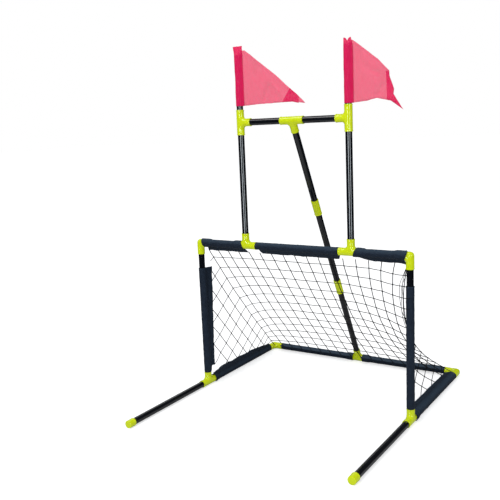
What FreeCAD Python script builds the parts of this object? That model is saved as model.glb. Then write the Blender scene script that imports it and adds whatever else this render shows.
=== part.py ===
import FreeCAD, Part
import math
import os

Vector = FreeCAD.Vector

# Children's knock-down goal with a net, tall uprights and two flags.
# Millimetres. +X is to the right seen from the front, +Y to the back, +Z up from the floor.

# Sizes of the frame, between tube axes unless a line says otherwise
goal_width = 1016.0
crossbar_height = 695.0
goal_depth = 624.0
foot_reach = 575.0              # posts to the front tip of the foot caps
upright_spacing = 513.0
upper_bar_height = 1237.0
flag_pole_rise = 284.0          # upper bar to the cut end of the flag poles
upper_coupler_place = 435.0     # along the brace, from the upper bar
lower_coupler_place = 893.0

# Round plastic tube that every bar, post and pole is cut from
tube_diameter = 28.0
tube_wall = 1.5

# Moulded push-fit fittings
push_fit_gap = 0.08             # radial, tube in socket
fitting_wall = 2.52
fitting_leg = 54.0              # centre of a fitting to the mouth of its socket
base_tee_upright_leg = 46.0
socket_depth = 34.0
tube_end_gap = 0.3              # tube end to the shoulder at the bottom of a socket
corner_sweep = 12.0             # inner radius of the swept corner between two legs
corner_relief = 0.2             # how far the swept corner lies inside the legs
lip_length = 4.0                # raised lip at the mouth of each socket
lip_height = 0.7
lip_chamfer = 0.6
core_radius = 10.0              # hollow middle of a fitting
coupler_length = 76.0
coupler_rib = 4.0               # stop in the middle of a coupler
cap_length = 34.0
cap_end_wall = 5.0
cap_end_round = 3.0
ground_flat_depth = 0.5         # flat on the underside of the fittings that stand on the floor

# Cloth sleeves: a tube of cloth round each bar, flattened into a flap that holds the net
cloth_thickness = 1.4
cloth_clearance = 0.3
flap_reach = 54.0               # bar axis to the outer edge of the flap
flap_edge_radius = 2.0
sleeve_end_gap = 1.5            # sleeve end to the fitting beside it
crossbar_flap_drop = 48.0       # degrees below level, towards the back
rear_flap_reach = 34.0
rear_flap_rise = 20.0           # degrees above level, towards the front
side_flap_lean = 20.0           # degrees inwards, on the posts and on the side ground tubes
end_cut_near = 12.0             # a slanting sleeve end, from the fitting's axis on the plain side of its leg
left_side_start = 40.0          # base tee's axis to the side sleeve, which covers the end of the tee's leg
post_sleeve_top_gap = 68.0      # bare tube under the top elbow
post_flap_notch = 29.0          # the flap stops short of the sleeve's lower end

# Net panels
net_cord = 4.0
net_thickness = 3.0
net_seam_gap = 0.4
left_net_sag = 20.0             # how far each part of the back panel hangs in from a straight line
middle_net_sag = 34.0
right_net_sag = 185.0
middle_net_x = 80.0
back_net_columns = 15
back_net_rows = 14
side_net_mesh = 54.0
gap_depth = 24.0                # tool that opens a gap, deep enough for the panel's slant
smallest_gap_share = 0.15       # a clipped gap smaller than this share of a whole one is left closed

# Flags, each a triangle of cloth with a pocket for its pole
flag_cloth = 1.4
flag_wave_height = 5.0
flag_wave_length = 64.0
left_flag_gap = 16.0            # bare pole between the upper tee's mouth and the flag
right_flag_gap = 3.0
left_crown_height = 37.0        # empty end of the pocket, flattened above the pole
right_crown_height = 24.0
left_crown_width = 46.0
right_crown_width = 32.0
right_crown_notch = 12.0        # the two corners of the right pocket's end stand up beside a dip
crown_thickness = 4.0
flag_cut_margin = 20.0          # room around the cloth when its outline is cut

# Corners of each flag from the pole's axis outwards, then up from the flag's lower hem
left_flag_outline = [
    (0.0, 0.0), (0.0, 234.0), (33.0, 232.0), (121.0, 169.0), (252.0, 62.0), (297.0, 20.0),
    (322.0, -3.0), (259.0, 6.0), (113.0, 4.0),
]
right_flag_outline = [
    (0.0, 0.0), (0.0, 242.0), (23.0, 240.0), (128.0, 160.0), (170.0, 114.0), (171.0, 93.0),
    (189.0, 44.0), (187.0, 25.0), (228.0, -35.0), (176.0, 0.0), (122.0, 13.0), (84.0, 5.0),
]

# Worked out from the sizes above
tube_radius = tube_diameter / 2
socket_radius = tube_radius + push_fit_gap
fitting_radius = socket_radius + fitting_wall
lip_radius = fitting_radius + lip_height
ground_height = fitting_radius - ground_flat_depth
tube_stop = fitting_leg - socket_depth + tube_end_gap
post_x = goal_width / 2
upright_x = upright_spacing / 2
flag_pole_top = upper_bar_height + flag_pole_rise
sleeve_over_leg = lip_radius + cloth_clearance + cloth_thickness
post_y = (foot_reach - goal_depth - sleeve_over_leg) / 2
rear_y = post_y + goal_depth
foot_tip_y = post_y - foot_reach
flap_centre = flap_reach - flap_edge_radius
rear_flap_centre = rear_flap_reach - flap_edge_radius

LEFT = -1
RIGHT = 1
SIDE_NAMES = {LEFT: "left", RIGHT: "right"}
X = Vector(1, 0, 0)
Y = Vector(0, 1, 0)
Z = Vector(0, 0, 1)


def turned(solid, place, direction):
    """Move a solid made at the origin along Z to a place, with its Z along a direction."""
    solid.Placement = FreeCAD.Placement(place, FreeCAD.Rotation(Z, direction))
    return solid


def revolved(profile):
    """A solid turned round Z from points of radius and height."""
    points = [Vector(radius, 0, height) for radius, height in profile]
    face = Part.Face(Part.makePolygon(points + points[:1]))
    return face.revolve(Vector(0, 0, 0), Z, 360)


def tube(start, end):
    direction = (end - start).normalize()
    length = (end - start).Length
    outside = Part.makeCylinder(tube_radius, length, start, direction)
    bore = Part.makeCylinder(tube_radius - tube_wall, length, start, direction)
    return outside.cut(bore)


def tube_between(start, end, start_stop, end_stop):
    """The tube between two fitting centres, stopped short of each by its own amount."""
    direction = (end - start).normalize()
    return tube(start + direction * start_stop, end - direction * end_stop)


def socket_leg(centre, direction, length):
    """The outside of one leg of a fitting, with the raised lip at its mouth."""
    profile = [
        (0, 0),
        (fitting_radius, 0),
        (fitting_radius, length - lip_length - lip_height),
        (lip_radius, length - lip_length),
        (lip_radius, length - lip_chamfer),
        (lip_radius - lip_chamfer, length),
        (0, length),
    ]
    return turned(revolved(profile), centre, direction)


def swept_corner(centre, first, second):
    """A quarter bend that fills the corner between two legs with a smooth hollow curve."""
    bend_radius = fitting_radius + corner_sweep
    start = centre + first * bend_radius
    hub = centre + (first + second) * bend_radius
    circle = Part.Circle(start, first, fitting_radius - corner_relief).toShape()
    return Part.Face(Part.Wire(circle)).revolve(hub, second.cross(first), 90)


def fitting(centre, legs, corners, floor=None):
    """A moulded fitting: legs are (direction, length), corners are pairs of leg directions."""
    outside = [socket_leg(centre, direction, length) for direction, length in legs]
    outside.append(Part.makeSphere(fitting_radius, centre))
    outside.extend(swept_corner(centre, first, second) for first, second in corners)
    body = outside[0].fuse(outside[1:])
    hollows = []
    for direction, length in legs:
        shoulder = length - socket_depth
        seat = centre + direction * shoulder
        hollows.append(Part.makeCylinder(socket_radius, socket_depth, seat, direction))
        overrun = core_radius / 2
        hollows.append(
            Part.makeCylinder(core_radius, shoulder + overrun, centre - direction * overrun, direction)
        )
    body = body.cut(hollows)
    if floor is not None:
        body = above(body, floor)
    return body


def beyond(solid, place, direction):
    """What is left of a solid on the far side of a plane through a place, square to a direction."""
    size = solid.BoundBox.DiagonalLength + place.distanceToPoint(solid.BoundBox.Center)
    kept = Part.makeBox(2 * size, 2 * size, 2 * size, Vector(-size, -size, 0))
    return solid.common(turned(kept, place, direction))


def above(solid, floor):
    """What is left of a solid above a level."""
    return beyond(solid, Vector(0, 0, floor), Z)


def tee(centre, run, branch, branch_leg=fitting_leg, floor=None):
    legs = [(run, fitting_leg), (run * -1, fitting_leg), (branch, branch_leg)]
    return fitting(centre, legs, [(run, branch), (run * -1, branch)], floor)


def elbow(centre, first, second, floor=None):
    return fitting(centre, [(first, fitting_leg), (second, fitting_leg)], [(first, second)], floor)


def coupler(centre, direction):
    """A straight joining piece: two sockets back to back with a stop rib between them."""
    half = coupler_length / 2
    sides = [socket_leg(centre, direction * way, half) for way in (1, -1)]
    body = sides[0].fuse(sides[1])
    depth = half - coupler_rib / 2
    hollows = [Part.makeCylinder(core_radius, coupler_length, centre - direction * half, direction)]
    for way in (1, -1):
        mouth = centre + direction * (way * half)
        hollows.append(Part.makeCylinder(socket_radius, depth, mouth, direction * -way))
    return body.cut(hollows)


def foot_cap(tip, inward):
    """A closed cap that pushes over the front end of a foot tube and stands on the floor."""
    round_start = fitting_radius - cap_end_round
    bow = cap_end_round * (1 - math.sqrt(0.5))
    arc = Part.Arc(
        Vector(round_start, 0, 0),
        Vector(fitting_radius - bow, 0, bow),
        Vector(fitting_radius, 0, cap_end_round),
    ).toShape()
    points = [
        (fitting_radius, cap_end_round),
        (fitting_radius, cap_length - lip_length - lip_height),
        (lip_radius, cap_length - lip_length),
        (lip_radius, cap_length - lip_chamfer),
        (lip_radius - lip_chamfer, cap_length),
        (socket_radius, cap_length),
        (socket_radius, cap_end_wall),
        (0, cap_end_wall),
        (0, 0),
        (round_start, 0),
    ]
    outline = Part.makePolygon([Vector(radius, 0, height) for radius, height in points])
    profile = Part.Face(Part.Wire([arc] + outline.Edges))
    body = turned(profile.revolve(Vector(0, 0, 0), Z, 360), tip, inward)
    return above(body, 0.0)


def teardrop(radius, edge_centre, towards, across):
    """A closed outline round a bar that runs out on one side into a narrow flap edge."""
    slope = math.acos((radius - flap_edge_radius) / edge_centre)

    def at(offset, size, angle):
        return towards * (offset + size * math.cos(angle)) + across * (size * math.sin(angle))

    upper, lower = at(0, radius, slope), at(0, radius, -slope)
    edge_upper = at(edge_centre, flap_edge_radius, slope)
    edge_lower = at(edge_centre, flap_edge_radius, -slope)
    edges = [
        Part.Arc(upper, at(0, radius, math.pi), lower).toShape(),
        Part.LineSegment(lower, edge_lower).toShape(),
        Part.Arc(edge_lower, at(edge_centre, flap_edge_radius, 0), edge_upper).toShape(),
        Part.LineSegment(edge_upper, upper).toShape(),
    ]
    return Part.Wire(edges)


def sleeve(start, along, flap, sections, edge_centre=flap_centre, base=None):
    """A cloth sleeve in sections of (length, covered radius, whether the flap runs along it)."""
    parts = []
    bores = []
    place = start
    for length, covered_radius, has_flap in sections:
        inner = covered_radius + cloth_clearance
        outer = inner + cloth_thickness
        if has_flap:
            outline = teardrop(outer, edge_centre, flap, along.cross(flap))
            outline.translate(place)
            parts.append(Part.Face(outline).extrude(along * length))
        else:
            parts.append(Part.makeCylinder(outer, length, place, along))
        bores.append(Part.makeCylinder(inner, length, place, along))
        place = place + along * length
    body = parts[0].fuse(parts[1:]) if len(parts) > 1 else parts[0]
    if base is not None:
        body = above(body, base)
        bores = [above(bore, base + cloth_thickness) for bore in bores]
    return body.cut(bores)


def leaning(base, inward, degrees):
    """A unit direction that leans inwards from a base direction."""
    angle = math.radians(degrees)
    return base * math.cos(angle) + inward * math.sin(angle)


# Places of the fitting centres
base_tee_at = {side: Vector(side * post_x, post_y, ground_height) for side in (LEFT, RIGHT)}
rear_elbow_at = {side: Vector(side * post_x, rear_y, ground_height) for side in (LEFT, RIGHT)}
top_elbow_at = {side: Vector(side * post_x, post_y, crossbar_height) for side in (LEFT, RIGHT)}
crossbar_tee_at = {side: Vector(side * upright_x, post_y, crossbar_height) for side in (LEFT, RIGHT)}
upper_tee_at = {side: Vector(side * upright_x, post_y, upper_bar_height) for side in (LEFT, RIGHT)}
middle_tee_at = Vector(0, post_y, upper_bar_height)
rear_tee_at = Vector(0, rear_y, ground_height)
brace_down = (rear_tee_at - middle_tee_at).normalize()
brace_coupler_at = {
    "upper": middle_tee_at + brace_down * upper_coupler_place,
    "lower": middle_tee_at + brace_down * lower_coupler_place,
}

# Directions in which the sleeves' flaps point
crossbar_flap = leaning(Y, Z * -1, crossbar_flap_drop)
rear_flap = leaning(Y * -1, Z, rear_flap_rise)


def ground_frame():
    """Feet, side and rear tubes on the floor, with the fittings that join them."""
    rear_tee_floor = cloth_thickness + cloth_clearance
    nodes = {"rear_ground_tee": tee(rear_tee_at, X, brace_down * -1, floor=rear_tee_floor)}
    for side, name in SIDE_NAMES.items():
        base, rear = base_tee_at[side], rear_elbow_at[side]
        foot_tip = Vector(side * post_x, foot_tip_y, ground_height)
        nodes[name + "_base_tee"] = tee(base, Y, Z, base_tee_upright_leg, floor=0.0)
        nodes[name + "_rear_elbow"] = elbow(rear, X * -side, Y * -1, floor=0.0)
        nodes[name + "_foot_cap"] = foot_cap(foot_tip, Y)
        nodes[name + "_foot_tube"] = tube_between(foot_tip, base, cap_end_wall + tube_end_gap, tube_stop)
        nodes[name + "_side_ground_tube"] = tube_between(base, rear, tube_stop, tube_stop)
        nodes[name + "_rear_ground_tube"] = tube_between(rear_tee_at, rear, tube_stop, tube_stop)
    return nodes


def goal_mouth():
    """Posts and the three-part crossbar, with its corner elbows and the tees for the uprights."""
    tees = crossbar_tee_at
    nodes = {"crossbar_middle_tube": tube_between(tees[LEFT], tees[RIGHT], tube_stop, tube_stop)}
    base_stop = base_tee_upright_leg - socket_depth + tube_end_gap
    for side, name in SIDE_NAMES.items():
        corner = top_elbow_at[side]
        nodes[name + "_top_elbow"] = elbow(corner, X * -side, Z * -1)
        nodes[name + "_crossbar_tee"] = tee(tees[side], X, Z)
        nodes[name + "_post_tube"] = tube_between(base_tee_at[side], corner, base_stop, tube_stop)
        nodes["crossbar_" + name + "_tube"] = tube_between(tees[side], corner, tube_stop, tube_stop)
    return nodes


def upper_frame():
    """Uprights above the crossbar, the two-part upper bar and the flag poles."""
    nodes = {"middle_upper_tee": tee(middle_tee_at, X, brace_down)}
    for side, name in SIDE_NAMES.items():
        lower, upper = crossbar_tee_at[side], upper_tee_at[side]
        pole_end = Vector(upper.x, upper.y, flag_pole_top)
        nodes[name + "_upper_tee"] = tee(upper, Z, X * -side)
        nodes[name + "_upright_tube"] = tube_between(lower, upper, tube_stop, tube_stop)
        nodes["upper_bar_" + name + "_tube"] = tube_between(middle_tee_at, upper, tube_stop, tube_stop)
        nodes[name + "_flag_pole"] = tube_between(upper, pole_end, tube_stop, 0.0)
    return nodes


def brace():
    """The slanting three-part brace from the upper bar down to the rear ground tee."""
    coupler_stop = coupler_rib / 2 + tube_end_gap
    upper, lower = brace_coupler_at["upper"], brace_coupler_at["lower"]
    return {
        "brace_upper_coupler": coupler(upper, brace_down),
        "brace_lower_coupler": coupler(lower, brace_down),
        "brace_upper_tube": tube_between(middle_tee_at, upper, tube_stop, coupler_stop),
        "brace_middle_tube": tube_between(upper, lower, coupler_stop, coupler_stop),
        "brace_lower_tube": tube_between(lower, rear_tee_at, coupler_stop, tube_stop),
    }


def sleeves():
    """Cloth sleeves on the crossbar, the posts and the ground tubes behind the posts."""
    past_leg = fitting_leg + sleeve_end_gap
    sweep = fitting_radius + corner_sweep
    drop = sweep - lip_radius - cloth_clearance
    past_corner = sweep - math.sqrt((corner_sweep + corner_relief) ** 2 - drop ** 2) + sleeve_end_gap
    middle_length = upright_spacing - 2 * past_leg
    nodes = {
        "crossbar_middle_sleeve": sleeve(
            crossbar_tee_at[LEFT] + X * past_leg, X, crossbar_flap, [(middle_length, tube_radius, True)]
        )
    }
    for side, name in SIDE_NAMES.items():
        inward = X * -side
        elbow_at, tee_at = top_elbow_at[side], crossbar_tee_at[side]
        over_leg = (past_leg, lip_radius, True)
        outer_tube = (post_x - upright_x - 2 * past_leg, tube_radius, True)
        body = sleeve(elbow_at, inward, crossbar_flap, [over_leg, outer_tube, over_leg])
        slant = math.atan2(past_corner - end_cut_near, 2 * (lip_radius + cloth_clearance))
        leg_middle = (past_corner + end_cut_near) / 2
        for centre, away, branch in ((elbow_at, inward, Z * -1), (tee_at, inward * -1, Z)):
            square = away * math.cos(slant) - branch * math.sin(slant)
            body = beyond(body, centre + away * leg_middle, square)
        nodes["crossbar_" + name + "_sleeve"] = body
        bottom = base_tee_upright_leg + sleeve_end_gap
        post_length = crossbar_height - ground_height - bottom - fitting_leg - post_sleeve_top_gap
        nodes[name + "_post_sleeve"] = sleeve(
            base_tee_at[side] + Z * bottom,
            Z,
            leaning(Y, inward, side_flap_lean),
            [(post_flap_notch, tube_radius, False), (post_length - post_flap_notch, tube_radius, True)],
        )
        side_start = left_side_start if side == LEFT else past_corner
        body = sleeve(
            base_tee_at[side] + Y * side_start,
            Y,
            leaning(Z, inward, side_flap_lean),
            [(past_leg - side_start, lip_radius, True), (goal_depth - 2 * past_leg, tube_radius, True)],
        )
        nodes[name + "_side_sleeve"] = above(body, 0.0)
        nodes[name + "_rear_sleeve"] = sleeve(
            rear_tee_at - inward * past_corner,
            inward * -1,
            rear_flap,
            [(past_leg - past_corner, lip_radius, True), (post_x - 2 * past_leg, tube_radius, True)],
            edge_centre=rear_flap_centre,
            base=0.0,
        )
    return nodes


# The back panel of the net hangs between the crossbar flaps and the rear flaps
net_top = Vector(0, post_y, crossbar_height) + crossbar_flap * flap_centre
net_bottom = Vector(0, rear_y, ground_height) + rear_flap * rear_flap_centre
net_chord = (net_bottom - net_top).Length
net_along = (net_bottom - net_top).normalize()
net_outward = Vector(0, -net_along.z, net_along.y)
side_net_x = post_x - flap_centre * math.sin(math.radians(side_flap_lean))
back_net_half_width = side_net_x - flap_edge_radius - net_seam_gap


class NetCurve:
    """The curve in which the back panel hangs, in one plane square to the crossbar."""

    def __init__(self, x, sag):
        self.x = x
        self.radius = (net_chord ** 2 / 4 + sag ** 2) / (2 * sag)
        self.hub = (net_top + net_bottom) * 0.5 + net_outward * (self.radius - sag)
        seam = (flap_edge_radius + net_seam_gap) / self.radius
        self.half_angle = math.asin(net_chord / 2 / self.radius) - seam

    def point(self, inward, share):
        """A point some way inside the curve, at a share of its length from the crossbar down."""
        angle = (2 * share - 1) * self.half_angle
        radius = self.radius + inward
        place = self.hub - net_outward * (radius * math.cos(angle)) + net_along * (radius * math.sin(angle))
        return Vector(self.x, place.y, place.z)

    def outline(self):
        half = net_thickness / 2
        first, last = self.point(half, 0), self.point(half, 1)
        back_first, back_last = self.point(-half, 0), self.point(-half, 1)
        edges = [
            Part.Arc(first, self.point(half, 0.5), last).toShape(),
            Part.LineSegment(last, back_last).toShape(),
            Part.Arc(back_last, self.point(-half, 0.5), back_first).toShape(),
            Part.LineSegment(back_first, first).toShape(),
        ]
        return Part.Wire(edges)


net_curves = [
    NetCurve(-back_net_half_width, left_net_sag),
    NetCurve(middle_net_x, middle_net_sag),
    NetCurve(back_net_half_width, right_net_sag),
]
side_curves = {LEFT: net_curves[0], RIGHT: net_curves[-1]}


def on_net(x, share):
    """A point on the middle of the back panel's thickness."""
    left, right = net_curves[:2] if x < middle_net_x else net_curves[1:]
    part = (x - left.x) / (right.x - left.x)
    return left.point(0, share) * (1 - part) + right.point(0, share) * part


def back_net():
    panel = Part.makeLoft([curve.outline() for curve in net_curves], True, True)
    pitch_x = (2 * back_net_half_width - net_cord) / back_net_columns
    edge_share = net_cord / 2 / net_chord
    pitch_share = (1 - 2 * edge_share) / back_net_rows
    gaps = []
    for row in range(back_net_rows):
        share = edge_share + (row + 0.5) * pitch_share
        for column in range(back_net_columns):
            x = -back_net_half_width + net_cord / 2 + (column + 0.5) * pitch_x
            left, right = on_net(x - pitch_x / 2, share), on_net(x + pitch_x / 2, share)
            high, low = on_net(x, share - pitch_share / 2), on_net(x, share + pitch_share / 2)
            across, down = (right - left).normalize(), (low - high).normalize()
            width = (right - left).Length - net_cord
            length = (low - high).Length - net_cord
            gap = Part.makeBox(width, length, gap_depth, Vector(-width / 2, -length / 2, -gap_depth / 2))
            turn = FreeCAD.Rotation(across, down, across.cross(down), "XZY")
            gap.Placement = FreeCAD.Placement((left + right + high + low) * 0.25, turn)
            gaps.append(gap)
    print("back net gaps", len(gaps))
    return panel.cut(gaps)


def side_net_outline(curve, inset):
    """The outline of a side panel in the YZ plane, drawn in by an inset on every edge."""
    past_flap = flap_centre * math.cos(math.radians(side_flap_lean)) + flap_edge_radius + net_seam_gap
    front = post_y + past_flap + inset
    low = ground_height + past_flap + inset
    inward = net_thickness / 2 + net_seam_gap + inset
    radius = curve.radius + inward
    top = curve.hub.z - math.sqrt(radius ** 2 - (front - curve.hub.y) ** 2)
    back = curve.hub.y - math.sqrt(radius ** 2 - (low - curve.hub.z) ** 2)
    upper, corner, rear = Vector(0, front, top), Vector(0, front, low), Vector(0, back, low)
    toward_middle = ((upper + rear) * 0.5 - Vector(0, curve.hub.y, curve.hub.z)).normalize()
    middle = Vector(0, curve.hub.y, curve.hub.z) + toward_middle * radius
    edges = [
        Part.LineSegment(upper, corner).toShape(),
        Part.LineSegment(corner, rear).toShape(),
        Part.Arc(rear, middle, upper).toShape(),
    ]
    return Part.Face(Part.Wire(edges))


def side_net(side):
    """A flat side panel; its cords run along and across the slanting edge."""
    curve = side_curves[side]
    panel = side_net_outline(curve, 0.0).extrude(X * net_thickness)
    inner = side_net_outline(curve, net_cord).extrude(X * net_thickness)
    box = inner.BoundBox
    size = side_net_mesh - net_cord
    turn = FreeCAD.Rotation(X, net_along, net_outward, "XYZ")
    start = curve.point(0, 0.5)
    start.x = 0
    count = int(math.ceil(box.DiagonalLength / side_net_mesh))
    gaps = []
    for column in range(-count, count):
        for row in range(-count, 0):
            place = start + net_along * (column * side_net_mesh) + net_outward * (row * side_net_mesh)
            gap = Part.makeBox(net_thickness, size, size)
            gap.Placement = FreeCAD.Placement(place, turn)
            if not gap.BoundBox.intersect(box):
                continue
            gap = gap.common(inner)
            if gap.Volume > smallest_gap_share * size * size * net_thickness:
                gaps.append(gap)
    print(SIDE_NAMES[side], "side net gaps", len(gaps))
    panel = panel.cut(gaps)
    panel.translate(X * (side * side_net_x - net_thickness / 2))
    return panel


def flag_crown(radius, seat, height, width, notch):
    """The empty end of a flag's pocket: round where it leaves the pole, flattened at its top."""
    top = seat + height
    low = Part.Circle(Vector(0, 0, seat), Z, radius).toShape()
    high = Part.Ellipse(Vector(width / 2, 0, top), Vector(0, crown_thickness / 2, top), Vector(0, 0, top))
    crown = Part.makeLoft([Part.Wire(low), Part.Wire(high.toShape())], True, True)
    if notch:
        half = width / 4
        corners = [Vector(-half, 0, top), Vector(0, 0, top - notch), Vector(half, 0, top)]
        for corner in corners:
            corner.y = -radius
        dip = Part.Face(Part.makePolygon(corners + corners[:1])).extrude(Y * (2 * radius))
        crown = crown.cut(dip)
    return crown


def flag(pole, bottom, outline, crown_height, crown_width, crown_notch=0.0):
    """A flag on its pole: pocket, its flattened end and a wavy sheet cut to its outline."""
    pocket_inner = tube_radius + cloth_clearance
    pocket_outer = pocket_inner + flag_cloth
    seat = flag_pole_top + cloth_clearance
    pocket = Part.makeCylinder(pocket_outer, seat - bottom, Vector(0, 0, bottom))
    crown = flag_crown(pocket_outer, seat, crown_height, crown_width, crown_notch)
    start = pocket_inner + flag_cloth / 2
    fly = max(reach for reach, rise in outline)
    waves = int(math.ceil((fly - start) / flag_wave_length))
    edges = []
    for wave in range(waves):
        left, right = start + wave * flag_wave_length, start + (wave + 1) * flag_wave_length
        crest = flag_wave_height * (-1) ** wave
        edges.append(Part.Arc(Vector(left, 0, 0), Vector((left + right) / 2, crest, 0), Vector(right, 0, 0)))
    spine = Part.Wire([edge.toShape() for edge in edges])
    low = bottom + min(rise for reach, rise in outline)
    high = bottom + max(rise for reach, rise in outline)
    spine.translate(Vector(0, -flag_cloth / 2, low))
    sheet = spine.extrude(Y * flag_cloth).extrude(Z * (high - low))
    corners = [Vector(reach, -flag_cut_margin, bottom + rise) for reach, rise in outline]
    cut = Part.Face(Part.makePolygon(corners + corners[:1])).extrude(Y * (2 * flag_cut_margin))
    body = pocket.fuse([crown, sheet.common(cut)])
    body = body.cut(Part.makeCylinder(pocket_inner, seat - bottom, Vector(0, 0, bottom)))
    body.translate(Vector(pole.x, pole.y, 0))
    return body


def soft_parts():
    nodes = sleeves()
    nodes["back_net"] = back_net()
    nodes["left_side_net"] = side_net(LEFT)
    nodes["right_side_net"] = side_net(RIGHT)
    tee_mouth = upper_bar_height + fitting_leg
    nodes["left_flag"] = flag(
        upper_tee_at[LEFT],
        tee_mouth + left_flag_gap,
        left_flag_outline,
        left_crown_height,
        left_crown_width,
    )
    nodes["right_flag"] = flag(
        upper_tee_at[RIGHT],
        tee_mouth + right_flag_gap,
        right_flag_outline,
        right_crown_height,
        right_crown_width,
        right_crown_notch,
    )
    return nodes


os.makedirs("parts", exist_ok=True)
goal = {**ground_frame(), **goal_mouth(), **upper_frame(), **brace(), **soft_parts()}
for name, shape in goal.items():
    print(name, "solids", len(shape.Solids), "valid", shape.isValid(), "volume", round(shape.Volume))
    shape.exportStep("parts/" + name + ".step")
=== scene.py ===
import math
import bpy
import numpy as np
from mathutils import Matrix, Vector, geometry, noise


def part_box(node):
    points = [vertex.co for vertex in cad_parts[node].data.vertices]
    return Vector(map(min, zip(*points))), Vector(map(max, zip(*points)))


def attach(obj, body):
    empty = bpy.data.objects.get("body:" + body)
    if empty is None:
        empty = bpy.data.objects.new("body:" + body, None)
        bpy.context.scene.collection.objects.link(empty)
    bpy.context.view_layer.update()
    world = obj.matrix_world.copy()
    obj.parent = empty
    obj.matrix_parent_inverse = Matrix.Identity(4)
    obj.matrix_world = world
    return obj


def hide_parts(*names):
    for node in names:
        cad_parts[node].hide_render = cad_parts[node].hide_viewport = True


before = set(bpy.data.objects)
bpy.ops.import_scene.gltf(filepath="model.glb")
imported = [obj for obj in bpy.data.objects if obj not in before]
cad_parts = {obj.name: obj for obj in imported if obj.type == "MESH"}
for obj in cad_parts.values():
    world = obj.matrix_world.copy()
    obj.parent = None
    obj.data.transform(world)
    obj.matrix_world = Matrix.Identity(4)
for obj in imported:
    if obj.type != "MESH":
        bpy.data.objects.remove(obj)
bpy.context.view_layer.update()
MM = 0.001


# The studio: a pale floor, a white surround, a soft box overhead, a fill on each side of the camera and a
# panel behind. Two strips that only glossy surfaces see draw bright lines down the tubes. The camera is
# low, to the right of the goal, and turned by the small tilt that the photograph has.
camera_azimuth = math.radians(32.95)
camera_elevation = math.radians(9.97)
camera_roll = math.radians(-2.5)
camera_distance = 3.4435
camera_aim = Vector((-0.3686, 0.204, 0.6318))
focal_pixels = 714.3
photograph_pixels = 500.0
sensor_width = 36.0
floor_width = 80.0
floor_grain = 3.0
floor_pale, floor_paler = (0.965, 0.965, 0.97, 1.0), (0.98, 0.98, 0.98, 1.0)
floor_bounce, floor_gloss, floor_lift = 0.7, 0.4, 0.56
floor_mirror_fades = (1.1, 2.0)
surround_seen, surround_light, surround_gloss = 1.0, 0.72, 0.03
surround_tint = (0.96, 0.98, 1.0, 1.0)
lamps = [
    ("left_fill", (0.25, -3.5, 1.6), (0.9, 2.1), 22.0, (0.0, 0.0, 1.2)),
    ("right_fill", (2.95, -2.0, 1.6), (0.9, 2.1), 17.0, (0.0, 0.0, 1.2)),
    ("upper_soft_box", (-0.9, -1.6, 4.0), (2.6, 1.4), 46.0, (0.0, 0.1, 0.7)),
    ("rear_panel", (-3.5, 4.5, 3.7), (4.0, 3.0), 34.0, (-0.4, 0.0, 0.5)),
]
mirrored_lamps = ("upper_soft_box", "rear_panel")
strips = [
    ("left_strip", (0.1, -3.4, 1.35), (0.8, 2.3), 15.0),
    ("right_strip", (3.05, -1.75, 1.35), (0.8, 2.3), 11.0),
]
strip_tint = (0.86, 0.94, 1.0, 1.0)


def feed(tree, node, inputs):
    """Set or link the inputs of a node."""
    for name, value in inputs.items():
        if isinstance(value, bpy.types.NodeSocket):
            tree.links.new(value, node.inputs[name])
        else:
            node.inputs[name].default_value = value


def add_node(tree, kind, inputs=None, **settings):
    """A new node in a tree, with its settings made and its inputs set or linked."""
    made = tree.nodes.new(kind)
    for name, value in settings.items():
        setattr(made, name, value)
    feed(tree, made, inputs or {})
    return made


def spread(tree, value, low, high, start=0.0, end=1.0):
    """A value that goes from low to high as another one goes from start to end."""
    return add_node(tree, "ShaderNodeMapRange", {
        "Value": value, "From Min": start, "From Max": end, "To Min": low, "To Max": high,
    }).outputs[0]


def mixed(tree, share, one, two):
    """A colour between two others."""
    return add_node(tree, "ShaderNodeMix", {0: share, 6: one, 7: two}, data_type="RGBA").outputs[2]


def mottled(tree, place, scale, detail=2.0, roughness=0.5, distortion=0.0):
    """Noise from 0 to 1 over a place, with its scale per metre."""
    return add_node(tree, "ShaderNodeTexNoise", {
        "Vector": place, "Scale": scale, "Detail": detail, "Roughness": roughness, "Distortion": distortion,
    }).outputs["Fac"]


def scaled(tree, vector, scale):
    """A vector or a colour times a number."""
    return add_node(tree, "ShaderNodeVectorMath", {0: vector, "Scale": scale}, operation="SCALE").outputs[0]


def object_place(tree):
    """Where a point lies in its own object."""
    return add_node(tree, "ShaderNodeTexCoord").outputs["Object"]


def new_material(name, fixed):
    """A material with its constant values on the shader: gives it, its tree and its shader."""
    material = bpy.data.materials.new(name)
    material.use_nodes = True
    shader = material.node_tree.nodes["Principled BSDF"]
    feed(material.node_tree, shader, fixed)
    return material, material.node_tree, shader


def new_piece(name, places, faces, materials, uvs=None):
    """A smooth mesh piece from points in metres and faces, with one UV place for each point."""
    mesh = bpy.data.meshes.new(name)
    mesh.from_pydata([tuple(place) for place in places], [], faces)
    for material in materials:
        mesh.materials.append(material)
    mesh.polygons.foreach_set("use_smooth", [True] * len(mesh.polygons))
    if uvs is not None:
        layer = mesh.uv_layers.new(name="cloth")
        corners = np.zeros(len(mesh.loops), np.int32)
        mesh.loops.foreach_get("vertex_index", corners)
        layer.data.foreach_set("uv", np.asarray(uvs, np.float32)[corners].ravel())
    piece = bpy.data.objects.new(name, mesh)
    bpy.context.scene.collection.objects.link(piece)
    return piece


def flat_square(name, wide, tall, material):
    """A level rectangle round the origin."""
    edges = [(x * wide / 2, y * tall / 2, 0) for x, y in ((-1, -1), (1, -1), (1, 1), (-1, 1))]
    return new_piece(name, edges, [(0, 1, 2, 3)], [material])


def aimed(place, aim):
    """The placing of a lamp or a strip that faces a point."""
    back = Vector(place) - Vector(aim)
    return Matrix.Translation(place) @ back.to_track_quat("Z", "Y").to_matrix().to_4x4()


def middle(node):
    """The middle of a CAD node's box."""
    low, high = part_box(node)
    return (low + high) / 2


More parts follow.
